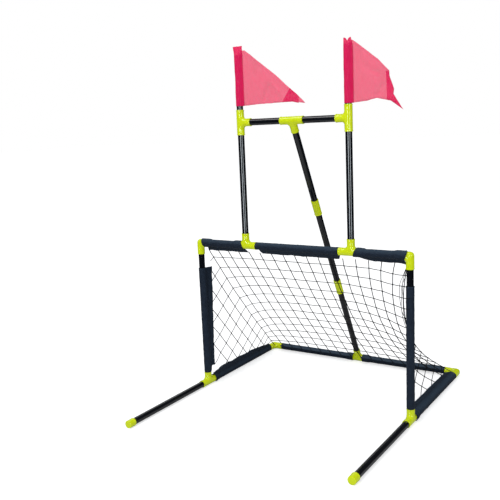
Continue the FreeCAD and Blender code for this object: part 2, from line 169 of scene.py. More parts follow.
post_plane = middle("left_post_tube").y
out = Vector((
    math.sin(camera_azimuth) * math.cos(camera_elevation),
    -math.cos(camera_azimuth) * math.cos(camera_elevation),
    math.sin(camera_elevation),
))
level = Vector((math.cos(camera_azimuth), math.sin(camera_azimuth), 0.0))
upward = out.cross(level)
tilted = level * math.cos(camera_roll) + upward * math.sin(camera_roll)
camera_up = upward * math.cos(camera_roll) - level * math.sin(camera_roll)
lens = bpy.data.cameras.new("photograph_camera")
lens.sensor_width = sensor_width
lens.lens = focal_pixels / photograph_pixels * sensor_width
camera = bpy.data.objects.new("photograph_camera", lens)
turn = Matrix((tilted, camera_up, out)).transposed().to_4x4()
camera_place = camera_aim + Vector((0, post_plane, 0)) + out * camera_distance
camera.matrix_world = Matrix.Translation(camera_place) @ turn
bpy.context.scene.collection.objects.link(camera)
bpy.context.scene.camera = camera
bpy.context.scene.view_settings.view_transform = "Standard"

world = bpy.data.worlds.new("white_surround")
world.use_nodes = True
surround = world.node_tree
surround.nodes.clear()
rays = add_node(surround, "ShaderNodeLightPath").outputs
seen = add_node(surround, "ShaderNodeBackground", {"Color": (1, 1, 1, 1), "Strength": surround_seen})
lighting = add_node(surround, "ShaderNodeBackground", {
    "Color": surround_tint,
    "Strength": spread(surround, rays["Is Glossy Ray"], surround_light, surround_gloss),
})
either = add_node(surround, "ShaderNodeMixShader", {
    0: rays["Is Camera Ray"], 1: lighting.outputs[0], 2: seen.outputs[0],
})
add_node(surround, "ShaderNodeOutputWorld", {"Surface": either.outputs[0]})
bpy.context.scene.world = world

for name, place, size, power, light_aim in lamps:
    lamp = bpy.data.lights.new(name, "AREA")
    lamp.shape = "RECTANGLE"
    lamp.size, lamp.size_y = size
    lamp.energy = power
    box = bpy.data.objects.new(name, lamp)
    box.matrix_world = aimed(place, light_aim)
    box.visible_glossy = name in mirrored_lamps
    bpy.context.scene.collection.objects.link(box)

for name, place, (wide, tall), strength in strips:
    glow = bpy.data.materials.new(name)
    glow.use_nodes = True
    tree = glow.node_tree
    tree.nodes.clear()
    rays = add_node(tree, "ShaderNodeLightPath").outputs
    clear = add_node(tree, "ShaderNodeBsdfTransparent")
    light = add_node(tree, "ShaderNodeEmission", {"Color": strip_tint, "Strength": strength})
    shown = add_node(tree, "ShaderNodeMixShader", {
        0: rays["Is Glossy Ray"], 1: clear.outputs[0], 2: light.outputs[0],
    })
    add_node(tree, "ShaderNodeOutputMaterial", {"Surface": shown.outputs[0]})
    strip = flat_square(name, wide, tall, glow)
    strip.matrix_world = aimed(place, (0, 0, place[2]))

paper, tree, shader = new_material("studio_floor", {
    "Roughness": 0.85, "Specular IOR Level": 0.0, "Emission Strength": 1.0,
})
place = object_place(tree)
tone = mixed(tree, mottled(tree, place, floor_grain), floor_pale, floor_paler)
rays = add_node(tree, "ShaderNodeLightPath").outputs
far = add_node(tree, "ShaderNodeVectorMath", {0: place}, operation="LENGTH").outputs["Value"]
mirrored = spread(tree, far, floor_gloss, 0.0, *floor_mirror_fades)
brightness = {
    "Base Color": spread(tree, rays["Is Glossy Ray"], floor_bounce, mirrored),
    "Emission Color": spread(tree, rays["Is Camera Ray"], 0.0, floor_lift),
}
feed(tree, shader, {socket: scaled(tree, tone, share) for socket, share in brightness.items()})
floor = flat_square("studio_floor", floor_width, floor_width, paper)


# The tubes: glossy black plastic, extruded in long lengths and cut, so that faint draw lines and fine
# rub marks run along each one, and dust settles on them in small specks.
tube_black = (0.0025, 0.003, 0.0045, 1.0)
tube_worn_black = (0.011, 0.013, 0.018, 1.0)
tube_smooth, tube_rubbed = 0.06, 0.2
draw_line_height = 0.00006
draw_lines_per_metre, rubs_per_metre, specks_per_metre = 420.0, 34.0, 900.0
drawn_out, rubbed_out, line_wear = (1.0, 1.0, 0.012), (1.0, 1.0, 0.18), 0.3


def new_group(name, inputs, outputs):
    """A node group that takes a place and some values: gives it and what it takes."""
    group = bpy.data.node_groups.new(name, "ShaderNodeTree")
    group.interface.new_socket("Vector", in_out="INPUT", socket_type="NodeSocketVector")
    for way, names in (("INPUT", inputs), ("OUTPUT", outputs)):
        for socket in names:
            group.interface.new_socket(socket, in_out=way, socket_type="NodeSocketFloat")
    return group, add_node(group, "NodeGroupInput").outputs


def effect(tree, group, place, per_metre):
    """What a node group gives in a material, at its own place and as fine as stated."""
    return add_node(tree, "ShaderNodeGroup", {0: place, 1: per_metre}, node_tree=group).outputs


def maths(tree, operation, *values):
    """One step of arithmetic."""
    return add_node(tree, "ShaderNodeMath", dict(enumerate(values)), operation=operation).outputs[0]


def bumped(tree, height, distance, strength):
    """A normal bent by a height."""
    return add_node(tree, "ShaderNodeBump", {
        "Height": height, "Distance": distance, "Strength": strength,
    }).outputs[0]


def dress(node, material):
    """Give a rigid piece its finish."""
    node.data.materials.clear()
    node.data.materials.append(material)


extruded, given = new_group("extruded_surface", ["Lines per metre"], ["Wear", "Height"])
drawn = add_node(extruded, "ShaderNodeMapping", {"Vector": given[0], "Scale": drawn_out}).outputs[0]
lines = mottled(extruded, drawn, given[1], 3.0, 0.6)
rubbed = add_node(extruded, "ShaderNodeMapping", {"Vector": given[0], "Scale": rubbed_out}).outputs[0]
rubs = mottled(extruded, rubbed, rubs_per_metre, 6.0, 0.72)
specks = mottled(extruded, given[0], specks_per_metre, 1.0)
rub_mask = spread(extruded, rubs, 0.0, 1.0, 0.52, 0.82)
speck_mask = spread(extruded, specks, 0.0, 1.0, 0.72, 0.8)
wear = maths(extruded, "MAXIMUM", rub_mask, speck_mask)
wear = maths(extruded, "MULTIPLY_ADD", lines, line_wear, wear)
add_node(extruded, "NodeGroupOutput", {"Wear": wear, "Height": lines})


def tube_material(name, turned):
    """Black tube whose draw lines run along the object's Z turned by three angles."""
    material, tree, shader = new_material("black_tube_" + name, {
        "IOR": 1.5, "Coat Weight": 0.35, "Coat Roughness": 0.06, "Specular IOR Level": 0.5,
    })
    lengthwise = add_node(tree, "ShaderNodeVectorRotate", {
        "Vector": object_place(tree), "Rotation": turned,
    }, rotation_type="EULER_XYZ")
    surface = effect(tree, extruded, lengthwise.outputs[0], draw_lines_per_metre)
    feed(tree, shader, {
        "Base Color": mixed(tree, surface["Wear"], tube_black, tube_worn_black),
        "Roughness": spread(tree, surface["Wear"], tube_smooth, tube_rubbed),
        "Normal": bumped(tree, surface["Height"], draw_line_height, 0.25),
    })
    return material


upper_middle, rear_middle = middle("middle_upper_tee"), middle("rear_ground_tee")
brace_lean = math.atan2(rear_middle.y - upper_middle.y, upper_middle.z - rear_middle.z)
tube_materials = {
    "upright": tube_material("upright", (0.0, 0.0, 0.0)),
    "across": tube_material("across", (0.0, math.radians(90), 0.0)),
    "deep": tube_material("deep", (math.radians(90), 0.0, 0.0)),
    "slanted": tube_material("slanted", (-brace_lean, 0.0, 0.0)),
}
for name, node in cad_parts.items():
    if not name.endswith(("_tube", "_pole")):
        continue
    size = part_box(name)[1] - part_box(name)[0]
    if name.startswith("brace_"):
        run = "slanted"
    else:
        run = ("across", "deep", "upright")[max(range(3), key=lambda axis: size[axis])]
    dress(node, tube_materials[run])


# The fittings: tees, elbows, couplers and foot caps of glossy lime plastic, injection moulded in one
# piece each, with a little depth to the colour, a faintly rippled skin and scuffs where they rub.
lime_bright = (0.66, 0.76, 0.010, 1.0)
lime_deep = (0.56, 0.68, 0.006, 1.0)
lime_scuff = (0.70, 0.79, 0.06, 1.0)
lime_glow = (0.75, 0.9, 0.1)
moulded_smooth, moulded_scuffed = 0.16, 0.32
ripple_height = 0.00025
ripples_per_metre, flows_per_metre, scratches_per_metre = 90.0, 26.0, 150.0

moulded, given = new_group("moulded_surface", ["Ripples per metre"], ["Flow", "Scuff", "Height"])
scratches = mottled(moulded, given[0], scratches_per_metre, 8.0, 0.8)
add_node(moulded, "NodeGroupOutput", {
    "Flow": mottled(moulded, given[0], flows_per_metre, distortion=0.6),
    "Scuff": spread(moulded, scratches, 0.0, 1.0, 0.66, 0.82),
    "Height": mottled(moulded, given[0], given[1]),
})

lime, tree, shader = new_material("lime_fitting", {
    "IOR": 1.5, "Subsurface Weight": 0.12, "Subsurface Radius": lime_glow, "Subsurface Scale": 0.004,
    "Specular IOR Level": 0.4, "Coat Weight": 0.15, "Coat Roughness": 0.06,
})
skin = effect(tree, moulded, object_place(tree), ripples_per_metre)
lime_flow = mixed(tree, skin["Flow"], lime_deep, lime_bright)
feed(tree, shader, {
    "Base Color": mixed(tree, skin["Scuff"], lime_flow, lime_scuff),
    "Roughness": spread(tree, skin["Scuff"], moulded_smooth, moulded_scuffed),
    "Normal": bumped(tree, skin["Height"], ripple_height, 0.2),
})
for name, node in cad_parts.items():
    if name.endswith(("_tee", "_elbow", "_coupler", "_cap")):
        dress(node, lime)


# The sleeves: strips of dark navy woven polyester folded round each bar and sewn to themselves close to
# it. The doubled edge below the seam is the flap that holds the net; loose cloth wrinkles between, and
# the side that faces up has painted light: its colour is lightened as if lit from above.
cloth_dark = (0.0056, 0.0098, 0.0185, 1.0)
cloth_light = (0.0150, 0.0255, 0.0450, 1.0)
cloth_painted_top_light = (0.0330, 0.0570, 0.0880, 1.0)
thread_grey = (0.05, 0.06, 0.075, 1.0)
cloth_sheen = (0.5, 0.68, 0.9, 1.0)
cloth_thickness = 0.7 * MM
cloth_over_bar, lip_blend = 2.6 * MM, 14 * MM
cloth_ring_step = 4.0 * MM
wrinkle_height, crease_depth, end_fray, hem_waver = 1.1 * MM, 0.9 * MM, 1.6 * MM, 1.5 * MM
droop_length = 45 * MM
threads_per_metre, fades_per_metre, twists_per_metre = 900.0, 38.0, 700.0
thread_height = 0.0003
seam_from_bar = 5.0 * MM
flap_half_thickness = 1.0 * MM
flap_reach = 52.5 * MM
rear_flap_reach = 33.0 * MM
side_flap_lean = 20.0
slant_middle, slant = 18.4 * MM, 0.364
side_start = {"left": 40.0 * MM, "right": 24.8 * MM}
full_width = (1.0, 1.0)
crossbar_ends = {
    "left": (21, (-14 * MM, 6 * MM), 0.0, (full_width, full_width)),
    "right": (31, (0.0, 22 * MM), 8 * MM, ((0.15, 75 * MM), full_width)),
}
side_flaps = {
    "left": (52.5 * MM, (-14 * MM, -24 * MM), ((0.35, 60 * MM), (0.35, 210 * MM))),
    "right": (43.0 * MM, (0.0, -85 * MM), (full_width, full_width)),
}
bare_height = 1.5 * MM
stitch_spacing = 4.4 * MM
stitch_length = 3.0 * MM
stitch_thickness = 0.45 * MM
stitch_rows = (0.02, 0.88)
tube_radius = (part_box("left_post_tube")[1].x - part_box("left_post_tube")[0].x) / 2
lip_radius = (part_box("left_top_elbow")[1].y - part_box("left_top_elbow")[0].y) / 2

weave, given = new_group("plain_weave", ["Threads per metre"], ["Thread", "Fade"])
split = add_node(weave, "ShaderNodeSeparateXYZ", {0: scaled(weave, *given[:2])}).outputs
waves = [maths(weave, "SINE", maths(weave, "MULTIPLY", split[axis], math.pi)) for axis in (0, 1)]
add_node(weave, "NodeGroupOutput", {
    "Thread": spread(weave, maths(weave, "MULTIPLY", *waves), 0.0, 1.0, -1.0, 1.0),
    "Fade": mottled(weave, given[0], fades_per_metre, 5.0, 0.65),
})


def woven_material(name, dark, light, threads, height, gloss, fixed):
    """A plain woven cloth between two tones: gives it, its tree and shader, and its tone."""
    material, tree, shader = new_material(name, fixed)
    cloth = effect(tree, weave, add_node(tree, "ShaderNodeTexCoord").outputs["UV"], threads)
    amount = maths(tree, "MULTIPLY_ADD", cloth["Thread"], 0.45, cloth["Fade"])
    tone = mixed(tree, spread(tree, amount, 0.0, 1.0, 0.25, 1.1), dark, light)
    feed(tree, shader, {
        "Base Color": tone, "Roughness": spread(tree, cloth["Fade"], *gloss),
        "Normal": bumped(tree, cloth["Thread"], height, 0.5),
    })
    return material, tree, shader, tone


def thread_material(name, dark, light, roughness):
    """Twisted sewing thread between two tones."""
    material, tree, shader = new_material(name, {"Roughness": roughness})
    twist = mottled(tree, object_place(tree), twists_per_metre)
    feed(tree, shader, {"Base Color": mixed(tree, twist, dark, light)})
    return material


sleeve_cloth, tree, shader, tone = woven_material(
    "dark_sleeve_cloth", cloth_dark, cloth_light, threads_per_metre, thread_height, (0.5, 0.72),
    {"Sheen Weight": 0.03, "Sheen Roughness": 0.4, "Sheen Tint": cloth_sheen, "Specular IOR Level": 0.15},
)
# Painted light: the cloth's colour is lightened where its normal faces up, standing in for light from above.
facing = add_node(tree, "ShaderNodeNewGeometry").outputs["Normal"]
facing_up = add_node(tree, "ShaderNodeSeparateXYZ", {0: facing}).outputs[2]
painted_top_light = spread(tree, facing_up, 0.0, 0.75, 0.1, 0.95)
feed(tree, shader, {"Base Color": mixed(tree, painted_top_light, tone, cloth_painted_top_light)})
thread = thread_material("sewing_thread", cloth_light, thread_grey, 0.6)


def ease(value, low, high):
    """A smooth step from 0 to 1 between two values."""
    share = min(max((value - low) / (high - low), 0.0), 1.0)
    return share * share * (3 - 2 * share)


def uneven(seed, *place):
    """Smooth noise from -1 to 1 at up to two coordinates, its own for each seed."""
    return noise.noise(Vector((*place, *(0.0,) * (2 - len(place)), seed * 7.31)))


def ring_faces(first, rings, around):
    """The faces between closed rings of points, each with as many points around."""
    starts = range(first, first + rings * around, around)
    pairs = [(start + corner, start + (corner + 1) % around) for start in starts for corner in range(around)]
    return [(one, two, two + around, one + around) for one, two in pairs]


def add_stitch(places, faces, centre, along, one_way, other_way):
    """One short stitch along a seam, as thick as stated in two directions."""
    first = len(places)
    long = along * (stitch_length / 2)
    places += [centre + way for way in (long, -long, one_way, other_way, -one_way, -other_way)]
    for corner in range(4):
        one, two = first + 2 + corner, first + 2 + (corner + 1) % 4
        faces += [(first, one, two), (first + 1, two, one)]


def thicken(piece, thickness, offset):
    """Give a cloth its thickness, beside it or to both sides."""
    solid = piece.modifiers.new("cloth_thickness", "SOLIDIFY")
    solid.thickness, solid.offset = thickness, offset


square = Vector((0, 0, 0))


class Sleeve:
    """The cloth folded round one bar, from a start to an end, with a flap in one direction."""

    arc_steps = 22
    flap_steps = 11

    def __init__(self, name, start, end, flap, seed, reach=flap_reach, wide=(), cuts=(0, 0),
                 slants=(square, square), droop=0.0, narrow=(full_width, full_width), notch=0.0,
                 sway=3.0 * MM, held="gathered", bare_under=0.0):
        self.name, self.held = name, held
        self.start, self.flap, self.seed, self.reach, self.wide = start, flap, seed, reach, wide
        self.length = (end - start).length
        self.along = (end - start).normalized()
        self.across = self.along.cross(flap)
        self.cuts, self.slants, self.droop, self.narrow = cuts, slants, droop, narrow
        self.notch, self.sway, self.bare_under = notch, sway, bare_under
        self.build()

    def bar_radius(self, run):
        """The radius that the cloth lies on: the tube's, or the fitting's where it covers a leg."""
        extra = lip_radius - tube_radius
        over = [
            ease(run, high + lip_blend, high) * ease(run, low - lip_blend, low) for low, high in self.wide
        ]
        return tube_radius + cloth_over_bar + extra * max(over, default=0.0)

    def at(self, share, offset, flap_share):
        """How far along the bar a point lies, with slanting ends and the flap's corners cut or run on."""
        begin = self.slants[0].dot(offset) + self.cuts[0] * flap_share
        begin += self.notch * ease(flap_share, 0.0, 0.18)
        finish = self.length + self.slants[1].dot(offset) + self.cuts[1] * flap_share
        ragged = end_fray * uneven(self.seed, flap_share * 3, 5.0) * flap_share
        return begin + ragged + (finish - begin - 2 * ragged) * share

    def hem_reach(self, run):
        """How far the hem lies from the bar's axis, with the flap narrowed or drooping at its ends."""
        seam = self.bar_radius(run) + seam_from_bar
        end_droop = self.droop * ease(run, self.length - droop_length, self.length)
        hem = self.reach + end_droop + hem_waver * uneven(self.seed + 1, run * 22)
        for (share, length), from_end in zip(self.narrow, (run, self.length - run)):
            hem = seam + (hem - seam) * (share + (1 - share) * ease(from_end, -10 * MM, length))
        return hem

    def flap_place(self, run, flap_share, side):
        """A point of one layer of the flap, from the seam at 0 to the hem at 1."""
        seam = self.bar_radius(run) + seam_from_bar
        reach = seam + (self.hem_reach(run) - seam) * flap_share
        half = flap_half_thickness * (1 + 0.35 * flap_share + 0.5 * ease(flap_share, 0.8, 0.9))
        pulled = uneven(self.seed + 2, run * 17, flap_share * 1.2)
        pulled += 0.5 * uneven(self.seed + 3, run * 48, flap_share * 2)
        offset = self.sway * flap_share ** 1.3 * pulled
        crease = uneven(self.seed + 4, run * 95, flap_share * 4 + run * 30)
        crease *= crease_depth * ease(flap_share, 0.0, 0.25)
        return self.flap * reach + self.across * (offset + crease + side * half)

    def wrap_place(self, run, angle):
        """A point of the cloth round the bar, at an angle from the flap."""
        radius = self.bar_radius(run)
        fold = uneven(self.seed + 5, run * 75, angle * 1.1 + run * 12)
        fold += 0.5 * uneven(self.seed + 6, run * 190, angle * 2)
        radius += wrinkle_height * max(fold, 0.0) + 0.25 * MM * uneven(self.seed + 7, run * 30, angle)
        return self.flap * (radius * math.cos(angle)) + self.across * (radius * math.sin(angle))

    def placed(self, share, flap_share, offset_at):
        """The run and the place of a point whose offset from the bar depends on the run."""
        run = self.at(share, offset_at(self.length * share), flap_share)
        place = self.start + self.along * run + offset_at(run)
        place.z = max(place.z, cloth_thickness)
        return run, place

    def ring(self, share):
        """One ring of points, from the hem round the bar and back, with their UV places."""
        places, uvs = [], []
        radius = self.bar_radius(self.length * share)
        leave = math.acos(radius / (radius + seam_from_bar))
        flap_length = self.reach - radius

        def put(flap_share, across_cloth, offset_at):
            run, place = self.placed(share, flap_share, offset_at)
            places.append(place)
            uvs.append((run, across_cloth))

        for step in range(self.flap_steps + 1):
            flap_share = 1 - step / self.flap_steps
            put(flap_share, flap_length * (1 - flap_share), lambda run: self.flap_place(run, flap_share, 1))
        for step in range(self.arc_steps + 1):
            angle = leave + (2 * math.pi - 2 * leave) * step / self.arc_steps
            put(0.0, flap_length + radius * angle, lambda run: self.wrap_place(run, angle))
        for step in range(self.flap_steps + 1):
            flap_share = step / self.flap_steps
            put(flap_share, flap_length * (1 + flap_share) + radius * 2 * math.pi,
                lambda run: self.flap_place(run, flap_share, -1))
        return places, uvs

    def stitches(self, flap_share, places, faces):
        """A row of short stitches on both faces of the flap."""
        thick = stitch_thickness
        count = int(self.length / stitch_spacing)
        for number in range(1, count):
            for side in (1, -1):
                def on_face(run):
                    return self.flap_place(run, flap_share, side)

                centre = self.placed(number / count, flap_share, on_face)[1]
                centre += self.across * (side * thick * 0.4)
                add_stitch(places, faces, centre, self.along, self.flap * thick, self.across * thick)

    def build(self):
        """The cloth's mesh and its stitching; a leg that stands on the floor has no cloth under it."""
        rings = max(8, round(self.length / cloth_ring_step))
        places, uvs = [], []
        for number in range(rings + 1):
            ring_places, ring_uvs = self.ring(number / rings)
            places += ring_places
            uvs += ring_uvs
        faces = [
            face for face in ring_faces(0, rings, len(ring_places))
            if uvs[face[0]][0] >= self.bare_under or max(places[corner].z for corner in face) >= bare_height
        ]
        self.piece = new_piece(self.name + "_cloth", places, faces, [sleeve_cloth], uvs)
        thicken(self.piece, cloth_thickness, -1.0)
        sewn, sewn_faces = [], []
        for flap_share in stitch_rows:
            self.stitches(flap_share, sewn, sewn_faces)
        self.stitching = new_piece(self.name + "_stitching", sewn, sewn_faces, [thread])
        for piece in (self.piece, self.stitching):
            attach(piece, "goal_frame")
        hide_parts(self.name)

    def declare(self, hung=()):
        """Does nothing: no cut or hanging pieces are recorded, and hung is not used."""

    @staticmethod
    def rests_on(name):
        """The bar that a sleeve goes round."""
        if name.endswith(("side_sleeve", "rear_sleeve")):
            return name.replace("_sleeve", "_ground_tube")
        return name.replace("_sleeve", "_tube")


def leaning(base, inward, degrees):
    """A direction turned from one towards another."""
    return base * math.cos(math.radians(degrees)) + inward * math.sin(math.radians(degrees))


def bar(first, last, y, z):
    """The ends of a bar that runs across the goal."""
    return Vector((first, y, z)), Vector((last, y, z))


X, Y, Z = Vector((1, 0, 0)), Vector((0, 1, 0)), Vector((0, 0, 1))
crossbar_flap = leaning(Y, -Z, 48)
rear_flap = leaning(-Y, Z, 20)
crossbar_z = middle("crossbar_middle_tube").z
ground_z = middle("left_foot_tube").z
rear_y = middle("left_rear_ground_tube").y
low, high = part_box("crossbar_middle_sleeve")
sleeves = [
    Sleeve("crossbar_middle_sleeve", *bar(low.x, high.x, post_plane, crossbar_z), crossbar_flap, 11,
           cuts=(8 * MM, -14 * MM)),
]
for side, sign in (("left", -1), ("right", 1)):
    post, upright = middle(side + "_post_tube"), middle(side + "_upright_tube")
    inward = -X * sign
    elbow_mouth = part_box(side + "_top_elbow")[1 if side == "left" else 0].x
    tee_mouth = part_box(side + "_crossbar_tee")[0 if side == "left" else 1].x
    outer, inner = post.x - sign * slant_middle, upright.x + sign * slant_middle
    first, last = sorted((outer, inner))
    mouths = sorted((elbow_mouth, tee_mouth))
    slanting = Z * (sign * slant)
    seed, cuts, droop, narrow = crossbar_ends[side]
    sleeves.append(Sleeve(
        "crossbar_" + side + "_sleeve", *bar(first, last, post_plane, crossbar_z), crossbar_flap, seed,
        wide=[(-1.0, mouths[0] - first), (mouths[1] - first, 1.0)], cuts=cuts,
        slants=(slanting, slanting - Y * slant), droop=droop, narrow=narrow,
    ))
    low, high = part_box(side + "_post_sleeve")
    sleeves.append(Sleeve(
        side + "_post_sleeve", Vector((post.x, post_plane, low.z)), Vector((post.x, post_plane, high.z)),
        leaning(Y, inward, side_flap_lean), 41 + sign, notch=25 * MM,
        narrow=((0.62, high.z - low.z), full_width), sway=4.0 * MM, held="stretched",
    ))
    low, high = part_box(side + "_side_sleeve")
    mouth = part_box(side + "_base_tee")[1].y
    begin = post_plane + side_start[side]
    reach, cuts, narrow = side_flaps[side]
    sleeves.append(Sleeve(
        side + "_side_sleeve", Vector((post.x, begin, ground_z)), Vector((post.x, high.y, ground_z)),
        leaning(Z, inward, side_flap_lean), 51 + sign, reach=reach, sway=4.5 * MM,
        wide=[(-1.0, mouth - begin)], cuts=cuts, narrow=narrow, bare_under=mouth - begin + 3 * MM,
    ))
    low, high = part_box(side + "_rear_sleeve")
    tee_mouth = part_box("rear_ground_tee")[0 if side == "left" else 1].x
    covered = [(-1.0, tee_mouth - low.x)] if side == "right" else [(tee_mouth - low.x, 1.0)]
    sleeves.append(Sleeve(
        side + "_rear_sleeve", *bar(low.x, high.x, rear_y, ground_z), rear_flap, 61 + sign,
        reach=rear_flap_reach, wide=covered, sway=2.0 * MM,
    ))


# The net: one sheet of thin black knotted cord in square meshes. Its upper edge is sewn into the flaps of
# the crossbar, its lower edge into the flaps behind, and it turns two corners to close the sides.
cord_black = (0.004, 0.004, 0.005, 1.0)
cord_fray = (0.014, 0.014, 0.017, 1.0)
column_radius, row_radius, knot_radius = 1.8 * MM, 1.5 * MM, 3.3 * MM
net_columns, net_rows = 17, 13
net_half_width = 488.0 * MM
sag_start, sag_width = -478.0 * MM, 900.0 * MM
flap_hold = 50.0 * MM
rear_flap_hold = 31.0 * MM
row_drop = 48.6 * MM
first_row_share = 0.25
corner_sag = (14.0 * MM, 137.0 * MM)
corner_gather, corner_gather_width = 78.0 * MM, 124.0 * MM
right_row_rise = 14.0 * MM
right_row_droop = 12.0 * MM
column_shift = 3.0 * MM
hang_steps = 400
cord_steps, cord_sides, cord_slack = 4, 6, 0.9 * MM
knot_rings, knot_sides = 5, 8
knot_astray, knot_off_row = 2.5 * MM, 2.2 * MM
side_meshes = {"left": (54.0 * MM, 60.0 * MM), "right": (40.0 * MM, 46.0 * MM)}
side_row_run = {"left": (-0.80, -0.60), "right": (-0.62, -0.78)}
side_plane = {"left": -490.2 * MM, "right": 490.2 * MM}
side_hold = 4.0 * MM
longest_side_cord = 400
left_column_shift = 6.0 * MM
selvedge_cords, selvedge_rows = 3, 8
selvedge_step, selvedge_radius = 6.0 * MM, 1.1 * MM
plies_per_metre, ply_height = 900.0, 0.0004

cord, tree, shader = new_material("net_cord", {"Roughness": 0.85, "Specular IOR Level": 0.15})
plies = add_node(tree, "ShaderNodeTexWave", {
    "Vector": add_node(tree, "ShaderNodeTexCoord").outputs["UV"], "Scale": plies_per_metre,
    "Distortion": 1.5, "Detail": 1.0,
}, wave_type="BANDS", bands_direction="DIAGONAL").outputs["Fac"]
feed(tree, shader, {
    "Base Color": mixed(tree, plies, cord_black, cord_fray), "Normal": bumped(tree, plies, ply_height, 0.6),
})


class CordWork:
    """Cords and knots gathered into the mesh of one net panel."""

    def __init__(self):
        self.places, self.faces, self.uvs = [], [], []
        self.drawn = 0

    def cord(self, knots, radius):
        """A cord through a row of knots, slightly slack and uneven between them."""
        self.drawn += 1
        knots = [Vector(knot) for knot in knots]
        line = []
        for number in range(len(knots) - 1):
            one, two = knots[number], knots[number + 1]
            before = knots[number - 1] if number else one * 2 - two
            after = knots[number + 2] if number + 2 < len(knots) else two * 2 - one
            for step in range(cord_steps):
                share = step / cord_steps
                place = 0.5 * (
                    2 * one + (two - before) * share
                    + (2 * before - 5 * one + 4 * two - after) * share ** 2
                    + (3 * one - before - 3 * two + after) * share ** 3
                )
                slack = math.sin(math.pi * share) * cord_slack
                wander = [uneven(71 + axis, self.drawn * 3.7, (number + share) * 1.3) for axis in range(3)]
                line.append(place + Vector(wander) * slack - Z * slack * 0.8)
        line.append(knots[-1])
        first, run = len(self.places), 0.0
        for number, place in enumerate(line):
            ahead = line[min(number + 1, len(line) - 1)] - line[max(number - 1, 0)]
            ahead.normalize()
            side = ahead.cross(Vector((0.31, 0.83, 0.46))).normalized()
            other = ahead.cross(side)
            run += (place - line[number - 1]).length if number else 0.0
            for corner in range(cord_sides):
                angle = 2 * math.pi * corner / cord_sides
                self.places.append(
                    place + side * (radius * math.cos(angle)) + other * (radius * math.sin(angle))
                )
                self.uvs.append((run, radius * angle))
        self.faces += ring_faces(first, len(line) - 1, cord_sides)
        self.faces.append(tuple(range(first + cord_sides - 1, first - 1, -1)))
        last = len(self.places) - cord_sides
        self.faces.append(tuple(range(last, last + cord_sides)))

    def knot(self, place, long, across):
        """A tied knot: a small lumpy ball, longer along its column."""
        deep = long.cross(across)
        first = len(self.places)
        seed = len(self.places) * 0.013
        for ring in range(knot_rings + 1):
            tilt = math.pi * ring / knot_rings
            for corner in range(knot_sides):
                angle = 2 * math.pi * corner / knot_sides
                size = knot_radius * (1 + 0.22 * uneven(81, angle + seed, tilt * 2))
                self.places.append(
                    place + long * (1.25 * size * math.cos(tilt))
                    + across * (size * math.sin(tilt) * math.cos(angle))
                    + deep * (0.8 * size * math.sin(tilt) * math.sin(angle))
                )
                self.uvs.append((angle * knot_radius, tilt * knot_radius))
        self.faces += [face[::-1] for face in ring_faces(first, knot_rings, knot_sides)]

    def finish(self, name):
        """The panel's piece, which takes the place of a CAD node."""
        piece = new_piece(name + "_cords", self.places, self.faces, [cord], self.uvs)
        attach(piece, "goal_frame")
        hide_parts(name)
        return piece


net_top = Vector((post_plane, crossbar_z)) + Vector(crossbar_flap[1:]) * flap_hold
net_foot = Vector((rear_y, ground_z)) + Vector(rear_flap[1:]) * rear_flap_hold
net_line = net_foot - net_top
net_inward = Vector((net_line.y, -net_line.x)).normalized()


def hanging_column(x):
    """The line in which the net hangs at one place along the crossbar: arrays of y and z."""
    across = min(max((x - sag_start) / sag_width, 0.0), 1.0622)
    sag = corner_sag[0] + corner_sag[1] * across ** 4
    power = 1 - 0.375 * across ** 3
    share = np.linspace(0, 1, hang_steps)
    hang = sag * np.sin(np.pi * share ** power)
    return (net_top.x + share * net_line.x + hang * net_inward.x,
            net_top.y + share * net_line.y + hang * net_inward.y)


def row_height(row, x):
    """How high a row of knots lies: gathered down at the left corner, lifted on the right."""
    share = row / net_rows
    gathered = corner_gather * math.exp(-(x + net_half_width) / corner_gather_width)
    lifted = right_row_rise * ease(x, -50 * MM, 250 * MM) * math.sin(math.pi * share)
    drooped = right_row_droop * ease(x, 330 * MM, 440 * MM) * max(1 - 2.5 * share, 0.0)
    level = net_top.y - (row - first_row_share) * row_drop
    return level - gathered * math.sin(math.pi * share ** 1.35) + lifted - drooped


grid = []
for column in range(net_columns + 1):
    x = -net_half_width + 2 * net_half_width * column / net_columns
    ys, zs = hanging_column(x)
    rising = np.argsort(zs)
    knots = []
    for row in range(net_rows + 1):
        z = {0: net_top.y, net_rows: net_foot.y}.get(row)
        y = {0: net_top.x, net_rows: net_foot.x}.get(row)
        if z is None:
            z = row_height(row, x) + knot_off_row * uneven(91, column * 1.7, row * 1.3)
            y = float(np.interp(z, zs[rising], ys[rising]))
            y += knot_astray * uneven(92, column * 1.7, row * 1.3)
        shift = column_shift * ease(x, 100 * MM, 330 * MM) * (1 - ease(x, 400 * MM, net_half_width))
        shift -= left_column_shift * ease(x, -net_half_width, -400 * MM) * (1 - ease(x, -250 * MM, 0.0))
        place = Vector((x + shift * (1 - row / net_rows), y, z))
        if 0 < row < net_rows and 0 < column < net_columns:
            place.x += knot_astray * uneven(93, column * 1.7, row * 1.3)
        knots.append(place)
    grid.append(knots)

back_net = CordWork()
for column in grid:
    back_net.cord(column, column_radius)
for row in range(1, net_rows):
    back_net.cord([column[row] for column in grid], row_radius)
for column in grid:
    for row in range(1, net_rows):
        back_net.knot(column[row], (column[row + 1] - column[row - 1]).normalized(), X)
for number in range(1, selvedge_cords + 1):
    gathered = []
    for row in range(selvedge_rows):
        wavy = 12.0 * MM * uneven(94, number * 2.3, row * 1.3)
        apart = selvedge_step * number * math.sin(math.pi * min((row + 0.3) / 7.3, 1.0))
        shift = Vector((wavy - apart, 0.5 * apart, 12 * MM * uneven(98, number, row)))
        gathered.append(grid[-1][row] + shift)
    back_net.cord(gathered, selvedge_radius)
net_pieces = [back_net.finish("back_net")]

by_name = {sleeve.name: sleeve for sleeve in sleeves}


